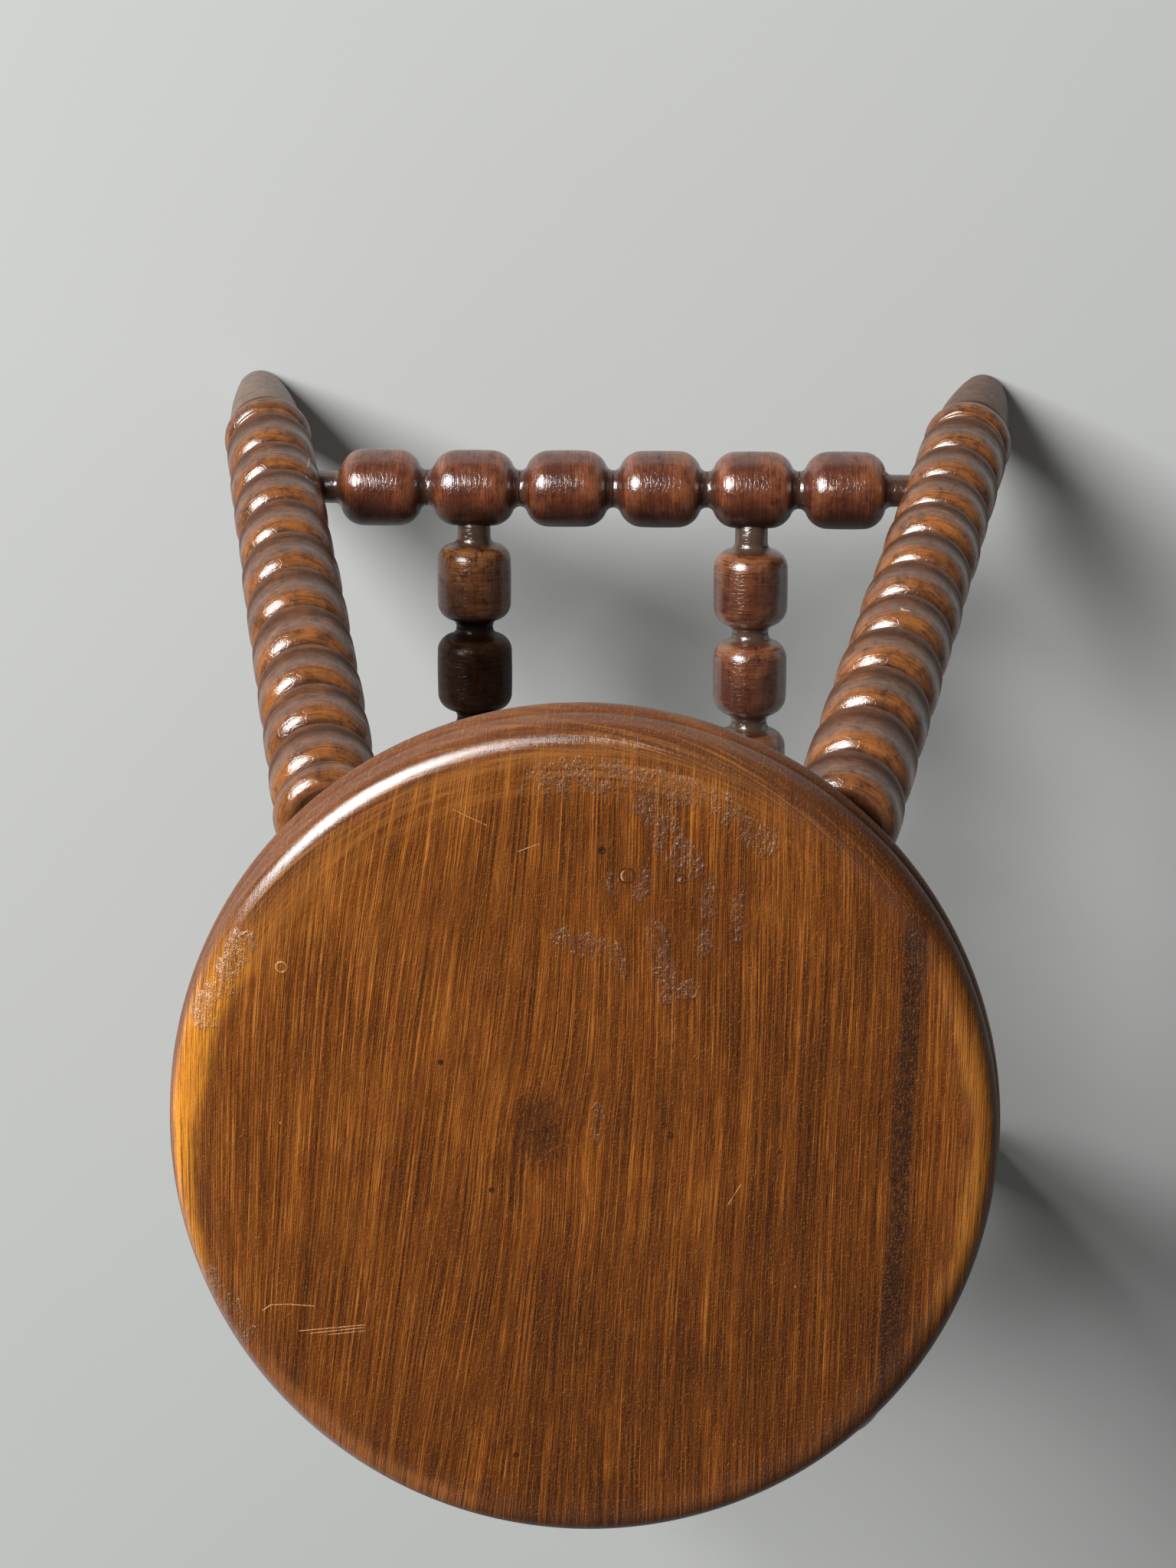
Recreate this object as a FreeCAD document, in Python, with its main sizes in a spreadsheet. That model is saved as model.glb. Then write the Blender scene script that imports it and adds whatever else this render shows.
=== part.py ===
import FreeCAD, Part
import os
import Sketcher
from FreeCAD import Vector

# Bobbin-turned stool: a round seat on four splayed legs, two side stretchers
# between the legs and two cross stretchers between the side stretchers.
# The frame: +Z up, the floor at z = 0, the seat's centre line on Z,
# the side stretchers along X and the cross stretchers along Y.

# Driving sizes in millimetres
SIZES = {
    # The whole stool. The seat has shrunk across its grain, which runs along Y.
    "stool_height": 490.0,
    "seat_width": 280.0,
    "seat_length": 293.0,
    "seat_thickness": 24.0,
    # Half spacings of the leg axes at the seat's underside and at the floor
    "leg_top_x": 84.0,
    "leg_top_y": 100.0,
    "leg_foot_x": 166.0,
    "leg_foot_y": 181.0,
    # The seat's turned edge: a bead below, a quirk, and a rounded edge above.
    # The planing is the waste that is planed off its two faces after the turning.
    "seat_bead_height": 10.5,
    "seat_bead_swell": 2.4,
    "seat_quirk_height": 1.6,
    "seat_quirk_depth": 3.6,
    "seat_round_inset": 1.3,
    "seat_round_radius": 10.0,
    "seat_planing": 0.1,
    # A leg's bobbins, and its tenon in the seat, which is as thick as the necks
    "leg_diameter": 38.0,
    "leg_neck_diameter": 19.0,
    "leg_end_neck": 3.0,
    "leg_tenon_length": 15.0,
    # A leg's foot, from the floor up: toe, swelling cone, bead and a thin ring
    "foot_length": 79.0,
    "toe_diameter": 20.0,
    "ankle_diameter": 33.0,
    "ankle_swell": 1.4,
    "foot_bead_height": 10.5,
    "foot_bead_swell": 2.6,
    "foot_ring_height": 2.6,
    "foot_ring_diameter": 31.6,
    "foot_ring_swell": 1.0,
    # Side stretchers
    "side_diameter": 32.0,
    "side_neck_diameter": 15.6,
    "side_tenon_diameter": 13.6,
    "side_tenon_length": 20.0,
    "side_end_neck": 6.2,
    # Cross stretchers
    "cross_diameter": 31.4,
    "cross_neck_diameter": 15.6,
    "cross_tenon_diameter": 14.0,
    "cross_tenon_length": 18.0,
    "cross_end_neck": 4.6,
    # Joints and cuts
    "joint_clearance": 0.1,
    "socket_end_gap": 1.0,
}

# Counts and shares, which stay as they are when the stool is scaled
COUNTS_AND_SHARES = {
    "leg_bobbins": 11,
    "side_bobbins": 6,
    "cross_bobbins": 7,
    # The leg's bobbin, counted from the foot, that takes a side stretcher,
    # and the side stretcher's bobbin, counted from its end, that takes a cross stretcher
    "leg_joint_bobbin": 2,
    "side_joint_bobbin": 2,
    # The cylindrical part of a bobbin, as a share of the pitch
    "leg_flat_share": 0.37,
    "side_flat_share": 0.37,
    "cross_flat_share": 0.5,
    # The shoulder's share of the two radii between a bobbin and its neck
    "leg_shoulder_share": 0.7,
    "side_shoulder_share": 0.76,
    "cross_shoulder_share": 0.66,
}

# Sizes that follow from the driving ones. Each line uses only those above it.
DERIVED = {
    "underside": "Sizes.stool_height - Sizes.seat_thickness",
    "splay_x": "Sizes.leg_foot_x - Sizes.leg_top_x",
    "splay_y": "Sizes.leg_foot_y - Sizes.leg_top_y",
    "leg_length": "sqrt(Derived.splay_x^2 + Derived.splay_y^2 + Derived.underside^2)",
    "leg_run": "Derived.leg_length - Sizes.leg_end_neck",
    "leg_pitch": "(Derived.leg_run - Sizes.foot_length) / Sizes.leg_bobbins",
    # Where a side stretcher's axis meets a leg's axis
    "joint_reach": "Sizes.foot_length + (Sizes.leg_joint_bobbin - 0.5) * Derived.leg_pitch",
    "joint_x": "Sizes.leg_foot_x - Derived.splay_x * Derived.joint_reach / Derived.leg_length",
    "joint_y": "Sizes.leg_foot_y - Derived.splay_y * Derived.joint_reach / Derived.leg_length",
    "joint_z": "Derived.underside * Derived.joint_reach / Derived.leg_length",
    # Half the length that a stretcher's bobbins fill, and half its whole length
    "side_run": "Derived.joint_x - Sizes.leg_diameter / 2 - Sizes.side_end_neck",
    "side_pitch": "2 * Derived.side_run / Sizes.side_bobbins",
    "side_reach": "Derived.joint_x - Sizes.leg_diameter / 2 + Sizes.side_tenon_length",
    "cross_run": "Derived.joint_y - Sizes.side_diameter / 2 - Sizes.cross_end_neck",
    "cross_pitch": "2 * Derived.cross_run / Sizes.cross_bobbins",
    "cross_reach": "Derived.joint_y - Sizes.side_diameter / 2 + Sizes.cross_tenon_length",
    "cross_x": "Derived.side_run - (Sizes.side_joint_bobbin - 0.5) * Derived.side_pitch",
    # The cone of the foot ends where its bead begins
    "cone_length": "Sizes.foot_length - Sizes.foot_ring_height - Sizes.foot_bead_height",
}

# The necks beside a bobbin: the kind of turning that each is on, and its waist's diameter
NECKS = {
    "leg_neck": ("leg", "Sizes.leg_neck_diameter"),
    "side_neck": ("side", "Sizes.side_neck_diameter"),
    "side_end": ("side", "Sizes.side_tenon_diameter"),
    "cross_neck": ("cross", "Sizes.cross_neck_diameter"),
    "cross_end": ("cross", "Sizes.cross_tenon_diameter"),
}

doc = FreeCAD.newDocument("stool")


def fill_sheet():
    """Put every driving size, count and share in the sheet, under its own alias."""
    sheet = doc.addObject("Spreadsheet::Sheet", "Sizes")
    rows = {**SIZES, **COUNTS_AND_SHARES}
    for row, (name, value) in enumerate(rows.items(), start=1):
        sheet.set(f"A{row}", name)
        sheet.set(f"B{row}", str(value))
        sheet.setAlias(f"B{row}", name)
    doc.recompute()


def derive(name, expression):
    """Keep a derived size under its own name."""
    derived.addProperty("App::PropertyFloat", name)
    derived.setExpression(name, expression)
    doc.recompute()


def derive_neck(neck, kind, waist):
    """Work out the arcs of a neck: the shoulders roll off the bobbins into a round hollow."""
    bobbin = f"Sizes.{kind}_diameter"
    derive(f"{neck}_half", f"Derived.{kind}_pitch * (1 - Sizes.{kind}_flat_share) / 2")
    derive(f"{neck}_turn", f"2 * atan(({bobbin} - {waist}) / 2 / Derived.{neck}_half)")
    both = f"Derived.{neck}_half / sin(Derived.{neck}_turn)"
    derive(f"{neck}_shoulder", f"Sizes.{kind}_shoulder_share * {both}")
    derive(f"{neck}_hollow", f"(1 - Sizes.{kind}_shoulder_share) * {both}")
    derive(f"{neck}_step", f"Derived.{neck}_shoulder * sin(Derived.{neck}_turn)")
    derive(f"{neck}_drop", f"Derived.{neck}_shoulder * (1 - cos(Derived.{neck}_turn))")


def worth(expression):
    """The number that an expression over the sheet comes to."""
    return float(derived.evalExpression(expression))


def bind(thing, rules):
    """Bind each named property of a thing to its expression."""
    for name, expression in rules.items():
        thing.setExpression(name, expression)


def origin_part(body, role):
    """The plane or axis of the body's own origin that has this role."""
    return next(part for part in body.Origin.OriginFeatures if part.Role == role)


def new_body(name):
    return doc.addObject("PartDesign::Body", name)


def hold(sketch, kind, edge, tip, value, expression):
    """Hold one coordinate of an edge's tip at an expression, or on the sketch's own axis."""
    if expression == "0":
        axis = -2 if kind == "DistanceX" else -1
        sketch.addConstraint(Sketcher.Constraint("PointOnObject", edge, tip, axis))
        return
    index = sketch.addConstraint(Sketcher.Constraint(kind, edge, tip, value))
    sketch.setExpression(f"Constraints[{index}]", expression)


def arc_between(start, end, radius, side):
    """The short arc from start to end, its centre left (side 1) or right (-1) of the way."""
    chord = end - start
    middle = (start + end) / 2
    left = Vector(-chord.y, chord.x, 0).normalize()
    rise = (radius ** 2 - (chord.Length / 2) ** 2) ** 0.5
    apex = middle + left * side * (rise - radius)
    return Part.Arc(start, apex, end)


def new_outline(body, name, corners):
    """Sketch a closed outline on the body's XZ plane, x from its axis and y along it.
    A corner is (x, y), or (x, y, radius, side) where an arc leads to the next corner."""
    sketch = body.newObject("Sketcher::SketchObject", name)
    sketch.AttachmentSupport = [(origin_part(body, "XZ_Plane"), "")]
    sketch.MapMode = "FlatFace"
    points = [Vector(worth(corner[0]), worth(corner[1]), 0) for corner in corners]
    # A sketch counts the tips of an arc anticlockwise, so a clockwise one has them swapped
    tips = []
    for start, end, corner in zip(points, points[1:] + points[:1], corners):
        if len(corner) == 4:
            sketch.addGeometry(arc_between(start, end, worth(corner[2]), corner[3]), False)
        else:
            sketch.addGeometry(Part.LineSegment(start, end), False)
        tips.append((2, 1) if corner[-1] == -1 else (1, 2))
    for i, corner in enumerate(corners):
        before = (i - 1) % len(corners)
        sketch.addConstraint(
            Sketcher.Constraint("Coincident", before, tips[before][1], i, tips[i][0]))
        hold(sketch, "DistanceX", i, tips[i][0], points[i].x, corner[0])
        hold(sketch, "DistanceY", i, tips[i][0], points[i].y, corner[1])
        if len(corner) == 4:
            index = sketch.addConstraint(Sketcher.Constraint("Radius", i, worth(corner[2])))
            sketch.setExpression(f"Constraints[{index}]", corner[2])
    return sketch


def turn(body, name, corners):
    """Turn an outline about the body's Z axis, and add it to the body."""
    sketch = new_outline(body, name + "_outline", corners)
    feature = body.newObject("PartDesign::Revolution", name)
    feature.Profile = sketch
    feature.ReferenceAxis = (sketch, ["V_Axis"])
    feature.Angle = 360
    feature.Refine = False
    body.Tip = feature
    doc.recompute()
    return feature


def into_neck(neck, waist_at):
    """The corners from the end of a bobbin down to the waist above it."""
    rim = f"Sizes.{NECKS[neck][0]}_diameter / 2"
    start = f"{waist_at} - Derived.{neck}_half"
    return [
        (rim, start, f"Derived.{neck}_shoulder", 1),
        (f"{rim} - Derived.{neck}_drop", f"{start} + Derived.{neck}_step",
         f"Derived.{neck}_hollow", -1),
    ]


def out_of_neck(neck, waist_at):
    """The corners from the waist up to the start of the bobbin above it."""
    kind, waist = NECKS[neck]
    rim = f"Sizes.{kind}_diameter / 2"
    end = f"{waist_at} + Derived.{neck}_half"
    return [
        (f"{waist} / 2", waist_at, f"Derived.{neck}_hollow", -1),
        (f"{rim} - Derived.{neck}_drop", f"{end} - Derived.{neck}_step",
         f"Derived.{neck}_shoulder", 1),
        (rim, end),
    ]


def add_bobbins(body, name, neck, first, count):
    """Turn one bobbin from waist to waist, and repeat it along the body's axis."""
    kind, waist = NECKS[neck]
    pitch = f"Derived.{kind}_pitch"
    last = f"{first} + {pitch}"
    bobbin = turn(body, name, [
        ("0", first),
        *out_of_neck(neck, first),
        *into_neck(neck, last),
        (f"{waist} / 2", last),
        ("0", last),
    ])
    pattern = body.newObject("PartDesign::LinearPattern", name + "_row")
    pattern.Originals = [bobbin]
    pattern.Direction = (origin_part(body, "Z_Axis"), [""])
    pattern.Mode = "Spacing"
    bind(pattern, {"Offset": pitch, "Occurrences": count})
    body.Tip = pattern
    doc.recompute()


def make_leg_body(name):
    """A turned leg on its own axis: z = 0 where the axis meets the floor, +Z to the seat."""
    body = new_body(name)
    add_bobbins(body, name + "_bobbin", "leg_neck", "Sizes.foot_length", "Sizes.leg_bobbins")
    tenon = "Sizes.leg_neck_diameter / 2"
    tip = "Derived.leg_length + Sizes.leg_tenon_length"
    turn(body, name + "_tenon", [
        ("0", "Derived.leg_run"),
        (tenon, "Derived.leg_run"),
        (tenon, tip),
        ("0", tip),
    ])
    toe = "Sizes.toe_diameter / 2"
    ankle = "Sizes.ankle_diameter / 2"
    ring = "Sizes.foot_ring_diameter / 2"
    waste = "-Sizes.toe_diameter / 2"
    cone_chord = f"sqrt(Derived.cone_length^2 + ({ankle} - {toe})^2)"
    bead_top = "Derived.cone_length + Sizes.foot_bead_height"
    turn(body, name + "_foot", [
        ("0", waste),
        (toe, waste),
        (toe, "0", arc_radius(cone_chord, "Sizes.ankle_swell"), 1),
        (ankle, "Derived.cone_length",
         arc_radius("Sizes.foot_bead_height", "Sizes.foot_bead_swell"), 1),
        (ankle, bead_top),
        (ring, bead_top, arc_radius("Sizes.foot_ring_height", "Sizes.foot_ring_swell"), 1),
        (ring, "Sizes.foot_length"),
        ("0", "Sizes.foot_length"),
    ])
    return body


def arc_radius(chord, swell):
    """The radius of an arc over this chord that stands this far out at its middle."""
    return f"(({chord})^2 / 4 + {swell}^2) / (2 * {swell})"


def make_stretcher_body(name, kind):
    """A turned stretcher on its own axis, with z = 0 at its middle and tenons at both ends."""
    body = new_body(name)
    tenon = f"Sizes.{kind}_tenon_diameter / 2"
    reach = f"Derived.{kind}_reach"
    run = f"Derived.{kind}_run"
    inner = f"-{run} + Derived.{kind}_pitch"
    add_bobbins(body, name + "_bobbin", kind + "_neck", inner, f"Sizes.{kind}_bobbins - 2")
    end = turn(body, name + "_end", [
        ("0", f"-{reach}"),
        (tenon, f"-{reach}"),
        *out_of_neck(kind + "_end", f"-{run}"),
        *into_neck(kind + "_neck", inner),
        (f"Sizes.{kind}_neck_diameter / 2", inner),
        ("0", inner),
    ])
    other_end = body.newObject("PartDesign::Mirrored", name + "_other_end")
    other_end.Originals = [end]
    other_end.MirrorPlane = (origin_part(body, "XY_Plane"), [""])
    other_end.Refine = False
    body.Tip = other_end
    doc.recompute()
    return body


def lay_axis(thing, base, direction):
    """Put a thing's own Z axis on the line from base along direction, all in expressions."""
    x, y, z = direction
    bind(thing, {
        "Placement.Base.x": base[0],
        "Placement.Base.y": base[1],
        "Placement.Base.z": base[2],
        "Placement.Rotation.Axis.x": f"-({y})",
        "Placement.Rotation.Axis.y": x,
        "Placement.Rotation.Axis.z": "0",
        "Placement.Rotation.Angle": f"acos(({z}) / sqrt(({x})^2 + ({y})^2 + ({z})^2))",
    })


def add_rod(name, radius, base, direction, length):
    """A plain round rod from base along direction, used as a cutter."""
    rod = doc.addObject("Part::Cylinder", name)
    bind(rod, {"Radius": radius, "Height": length})
    lay_axis(rod, base, direction)
    return rod


def add_floor_block(name, x, y):
    """A block below the floor, which cuts the toe of the leg at (x, y) level."""
    block = doc.addObject("Part::Box", name)
    side = "4 * Sizes.toe_diameter"
    bind(block, {
        "Length": side,
        "Width": side,
        "Height": side,
        "Placement.Base.x": f"{x} - 2 * Sizes.toe_diameter",
        "Placement.Base.y": f"{y} - 2 * Sizes.toe_diameter",
        "Placement.Base.z": "-4 * Sizes.toe_diameter",
    })
    return block


def cut_away(name, label, base, tools):
    """Cut the tools away from the base, and name what is left as a finished piece."""
    together = doc.addObject("Part::Compound", name + "_cutters")
    together.Links = tools
    piece = doc.addObject("Part::Cut", name)
    piece.Base = base
    piece.Tool = together
    piece.Label = label
    return piece


def make_leg(label, side_x, side_y):
    """A leg, cut level at the floor, with a blind socket for its side stretcher.
    side_x and side_y are the signs of its corner of the stool."""
    body = make_leg_body(label + "_turning")
    foot_x = f"{side_x} * Sizes.leg_foot_x"
    foot_y = f"{side_y} * Sizes.leg_foot_y"
    lay_axis(body, (foot_x, foot_y, "0"), leg_direction(side_x, side_y))
    block = add_floor_block(label + "_floor_cut", foot_x, foot_y)
    socket = add_rod(
        label + "_socket", "Sizes.side_tenon_diameter / 2 + Sizes.joint_clearance",
        (f"{side_x} * Derived.side_run", f"{side_y} * Derived.joint_y", "Derived.joint_z"),
        (side_x, "0", "0"),
        "Derived.side_reach + Sizes.socket_end_gap - Derived.side_run")
    return cut_away(label + "_piece", label, body, [block, socket])


def leg_direction(side_x, side_y):
    """The way up a leg's axis, from the floor to the seat."""
    return (f"-({side_x}) * Derived.splay_x", f"-({side_y}) * Derived.splay_y",
            "Derived.underside")


def make_side_stretcher(label, side_y):
    """A side stretcher, with blind sockets on its inner side for the cross stretchers."""
    body = make_stretcher_body(label + "_turning", "side")
    lay_axis(body, ("0", f"{side_y} * Derived.joint_y", "Derived.joint_z"), ("1", "0", "0"))
    sockets = []
    for hand, side_x in (("left", "-1"), ("right", "1")):
        sockets.append(add_rod(
            f"{label}_socket_{hand}", "Sizes.cross_tenon_diameter / 2 + Sizes.joint_clearance",
            (f"{side_x} * Derived.cross_x", f"{side_y} * Derived.cross_run", "Derived.joint_z"),
            ("0", side_y, "0"),
            "Derived.cross_reach + Sizes.socket_end_gap - Derived.cross_run"))
    return cut_away(label + "_piece", label, body, sockets)


def make_cross_stretcher(label, side_x):
    body = make_stretcher_body(label, "cross")
    lay_axis(body, (f"{side_x} * Derived.cross_x", "0", "Derived.joint_z"), ("0", "1", "0"))
    return body


def make_seat(label):
    """The one-board seat: turned round, shrunk across the grain to an oval, planed flat on
    both faces, and bored for the legs. Its own z = 0 is the underside."""
    body = new_body(label + "_turning")
    rim = "Sizes.seat_width / 2"
    bead = f"{rim} - Sizes.seat_bead_swell"
    bead_round = arc_radius("Sizes.seat_bead_height", "Sizes.seat_bead_swell")
    # The bead's arc runs on a little below the underside, down to where the waste ends
    low = "-Sizes.seat_planing"
    reach = f"sqrt(({bead_round})^2 - (Sizes.seat_bead_height / 2 + Sizes.seat_planing)^2)"
    quirk = f"{rim} - Sizes.seat_quirk_depth"
    quirk_top = "Sizes.seat_bead_height + Sizes.seat_quirk_height"
    edge = f"{rim} - Sizes.seat_round_inset"
    top = "Sizes.seat_thickness + Sizes.seat_planing"
    turn(body, label + "_board", [
        ("0", low),
        (f"{rim} - {bead_round} + {reach}", low, bead_round, 1),
        (bead, "Sizes.seat_bead_height"),
        (quirk, "Sizes.seat_bead_height"),
        (quirk, quirk_top),
        (edge, quirk_top),
        (edge, f"{top} - Sizes.seat_round_radius", "Sizes.seat_round_radius", 1),
        (f"{edge} - Sizes.seat_round_radius", top),
        ("0", top),
    ])
    oval = doc.addObject("Part::Scale", label + "_oval")
    oval.Base = body
    oval.Uniform = False
    oval.XScale = 1
    oval.ZScale = 1
    bind(oval, {"YScale": "Sizes.seat_length / Sizes.seat_width"})
    planes = doc.addObject("Part::Box", label + "_planes")
    bind(planes, {
        "Length": "2 * Sizes.seat_width",
        "Width": "2 * Sizes.seat_length",
        "Height": "Sizes.seat_thickness",
        "Placement.Base.x": "-Sizes.seat_width",
        "Placement.Base.y": "-Sizes.seat_length",
    })
    board = doc.addObject("Part::Common", label + "_planed")
    board.Base = oval
    board.Tool = planes
    bind(board, {"Placement.Base.z": "Derived.underside"})
    sockets = []
    for corner, side_x, side_y in CORNERS:
        way_x, way_y, way_z = leg_direction(side_x, side_y)
        start = "Derived.leg_run / Derived.leg_length"
        sockets.append(add_rod(
            f"{label}_socket_{corner}", "Sizes.leg_neck_diameter / 2 + Sizes.joint_clearance",
            (f"{side_x} * Sizes.leg_foot_x + {way_x} * {start}",
             f"{side_y} * Sizes.leg_foot_y + {way_y} * {start}",
             f"{way_z} * {start}"),
            (way_x, way_y, way_z),
            "Sizes.leg_end_neck + Sizes.leg_tenon_length + Sizes.socket_end_gap"))
    return cut_away(label + "_piece", label, board, sockets)


def check_all():
    """Stop if any object is in error, or any shape is missing, void or not valid."""
    for thing in doc.Objects:
        if "Invalid" in thing.State or "Error" in thing.State:
            raise RuntimeError(f"{thing.Name} is in error: {thing.State}")
        shape = getattr(thing, "Shape", None)
        if shape is None or thing.isDerivedFrom("Sketcher::SketchObject"):
            continue
        if thing.isDerivedFrom("Part::Feature") and (shape.isNull() or not shape.isValid()):
            raise RuntimeError(f"{thing.Name} has no valid shape")


def check_cuts(pieces):
    """Stop if a piece isn't one solid, or a cut has taken nothing away."""
    for piece in pieces:
        if len(piece.Shape.Solids) != 1:
            raise RuntimeError(f"{piece.Label} isn't one solid")
        if piece.isDerivedFrom("Part::Cut"):
            for tool in piece.Tool.Links:
                if piece.Base.Shape.common(tool.Shape).Volume <= 0:
                    raise RuntimeError(f"{tool.Name} cuts nothing")


fill_sheet()
derived = doc.addObject("App::VarSet", "Derived")
for size_name, size_expression in DERIVED.items():
    derive(size_name, size_expression)
for neck_name, neck_sizes in NECKS.items():
    derive_neck(neck_name, *neck_sizes)

# The corners of the stool, with the signs of their X and Y
CORNERS = [
    ("front_left", "-1", "1"),
    ("front_right", "1", "1"),
    ("back_left", "-1", "-1"),
    ("back_right", "1", "-1"),
]

pieces = [make_seat("seat")]
for corner_name, sign_x, sign_y in CORNERS:
    pieces.append(make_leg("leg_" + corner_name, sign_x, sign_y))
pieces.append(make_side_stretcher("side_stretcher_front", "1"))
pieces.append(make_side_stretcher("side_stretcher_back", "-1"))
pieces.append(make_cross_stretcher("cross_stretcher_left", "-1"))
pieces.append(make_cross_stretcher("cross_stretcher_right", "1"))
doc.recompute()
check_all()
check_cuts(pieces)

os.makedirs("parts", exist_ok=True)
for piece in pieces:
    piece.Shape.exportStep(f"parts/{piece.Label}.step")
    print(piece.Label, round(piece.Shape.Volume), piece.Shape.BoundBox)
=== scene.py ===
import math
import random

import bpy
from mathutils import Matrix, Vector, noise


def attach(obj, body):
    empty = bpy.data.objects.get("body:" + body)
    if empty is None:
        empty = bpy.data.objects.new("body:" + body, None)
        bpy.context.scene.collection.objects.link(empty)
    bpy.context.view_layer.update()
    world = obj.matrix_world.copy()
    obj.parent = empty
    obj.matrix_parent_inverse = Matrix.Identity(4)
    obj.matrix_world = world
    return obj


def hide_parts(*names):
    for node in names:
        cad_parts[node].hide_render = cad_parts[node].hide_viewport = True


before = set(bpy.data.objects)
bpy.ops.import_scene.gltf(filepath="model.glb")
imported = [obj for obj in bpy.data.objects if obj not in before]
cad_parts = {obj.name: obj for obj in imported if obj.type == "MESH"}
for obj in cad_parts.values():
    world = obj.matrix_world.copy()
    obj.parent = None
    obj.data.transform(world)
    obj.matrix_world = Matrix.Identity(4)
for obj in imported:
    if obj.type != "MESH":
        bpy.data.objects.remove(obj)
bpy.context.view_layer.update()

# Sizes in millimetres, as in the part
MM = 0.001
SEAT_TOP = 490.0
SEAT_THICK = 24.0
UNDERSIDE = SEAT_TOP - SEAT_THICK
SEAT_X = 140.0
SEAT_Y = 146.5
LEG_TOP = (84.0, 100.0)
LEG_FOOT = (166.0, 181.0)
LEG_R = 19.0
LEG_NECK_R = 9.5
LEG_TENON = 15.0
LEG_END_NECK = 3.0
LEG_BOBBINS = 11
FOOT = 79.0
TOE_R = 10.0
ANKLE_R = 16.5
ANKLE_SWELL = 1.4
BEAD = 10.5
BEAD_SWELL = 2.6
RING = 2.6
RING_R = 15.8
RING_SWELL = 1.0
SIDE_R = 16.0
SIDE_NECK_R = 7.8
SIDE_TENON_R = 6.8
SIDE_TENON = 20.0
SIDE_END_NECK = 6.2
SIDE_BOBBINS = 6
CROSS_R = 15.7
CROSS_NECK_R = 7.8
CROSS_TENON_R = 7.0
CROSS_TENON = 18.0
CROSS_END_NECK = 4.6
CROSS_BOBBINS = 7
# The cylindrical part of a bobbin, as a share of the pitch, and the shoulder's share of
# the two radii between a bobbin and its neck
LEG_SHARES = (0.37, 0.7)
SIDE_SHARES = (0.37, 0.76)
CROSS_LEFT_SHARES = (0.47, 0.66)
CROSS_RIGHT_SHARES = (0.43, 0.68)

# The waists of the two front legs, measured in the photo, along the leg from its foot
MEASURED_WAISTS = {
    "front_left": (79.0, 119.5, 155.4, 192.1, 231.2, 270.8, 311.0, 350.4, 386.6, 422.2, 456.4),
    "front_right": (79.0, 118.8, 155.7, 190.6, 224.4, 258.0, 293.4, 328.6, 365.2, 402.9, 442.2)}

SPLAY_X = LEG_FOOT[0] - LEG_TOP[0]
SPLAY_Y = LEG_FOOT[1] - LEG_TOP[1]
LEG_LENGTH = math.sqrt(SPLAY_X ** 2 + SPLAY_Y ** 2 + UNDERSIDE ** 2)
LEG_PITCH = (LEG_LENGTH - LEG_END_NECK - FOOT) / LEG_BOBBINS
JOINT_REACH = FOOT + 1.5 * LEG_PITCH
JOINT_X = LEG_FOOT[0] - SPLAY_X * JOINT_REACH / LEG_LENGTH
JOINT_Y = LEG_FOOT[1] - SPLAY_Y * JOINT_REACH / LEG_LENGTH
JOINT_Z = UNDERSIDE * JOINT_REACH / LEG_LENGTH
SIDE_RUN = JOINT_X - LEG_R - SIDE_END_NECK
SIDE_PITCH = 2 * SIDE_RUN / SIDE_BOBBINS
SIDE_REACH = JOINT_X - LEG_R + SIDE_TENON
CROSS_RUN = JOINT_Y - SIDE_R - CROSS_END_NECK
CROSS_PITCH = 2 * CROSS_RUN / CROSS_BOBBINS
CROSS_REACH = JOINT_Y - SIDE_R + CROSS_TENON
CROSS_X = SIDE_RUN - 1.5 * SIDE_PITCH

# Mesh points round a turning and round the seat, and along the parts of an outline
TURNED_SIDES = 96
SEAT_SIDES = 288
SHOULDER_STEPS = 12
HOLLOW_STEPS = 9
RIM_STEPS = 8
TOE_STEPS = 16
BEAD_STEPS = 14
RING_STEPS = 6
EDGE_STEPS = 20
# A sharp corner of a turning is rounded off by about this size
CORNER_ROUNDING = 0.3
# The rubbed edge of a toe's sole, inwards and upwards, and how far the sole is left too low
# before it is cut level
TOE_RUB = (1.2, 0.9)
SOLE_SPARE = 0.02
# The small step from a neck to its tenon
TENON_STEP = 0.4
# How far the hand-turned waists, necks and rims stray from their even places and sizes
LEG_WAIST_STRAY = 1.2
LEG_NECK_STRAY = 0.3
LEG_RIM_STRAY = (-0.25, 0.2)
STRETCHER_WAIST_STRAY = 0.4
STRETCHER_NECK_STRAY = 0.25
STRETCHER_RIM_STRAY = (-0.05, 0.3)
# Seeds for the outlines, and for the turnings made from them
LEG_SEEDS = (11, 21)
SIDE_SEEDS = (31, 41)
CROSS_SEEDS = (51, 61)
SEAT_SEED = 71


# Outlines of the turnings. A point is (radius, place along the axis, waist, worn):
# waist grows from 0 on a bobbin's rim to 1 at the bottom of a neck, and worn is 1 on a
# shoulder and 0 elsewhere.

def arc(start, end, radius, side, steps):
    """Points after start up to end on the short arc, its centre left (side 1) or right (-1)."""
    a = Vector(start)
    b = Vector(end)
    way = b - a
    left = Vector((-way.y, way.x)).normalized() * side
    rise = math.sqrt(max(radius ** 2 - (way.length / 2) ** 2, 0))
    centre = (a + b) / 2 + left * rise
    first = math.atan2(a.y - centre.y, a.x - centre.x)
    turn = 2 * math.asin(min(way.length / 2 / radius, 1)) * side
    found = []
    for i in range(1, steps + 1):
        at = first + turn * i / steps
        found.append((centre.x + radius * math.cos(at), centre.y + radius * math.sin(at)))
    return found


def swell_radius(length, swell):
    """The radius of an arc over this length that swells out by this much in its middle."""
    return (length ** 2 / 4 + swell ** 2) / (2 * swell)


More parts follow.
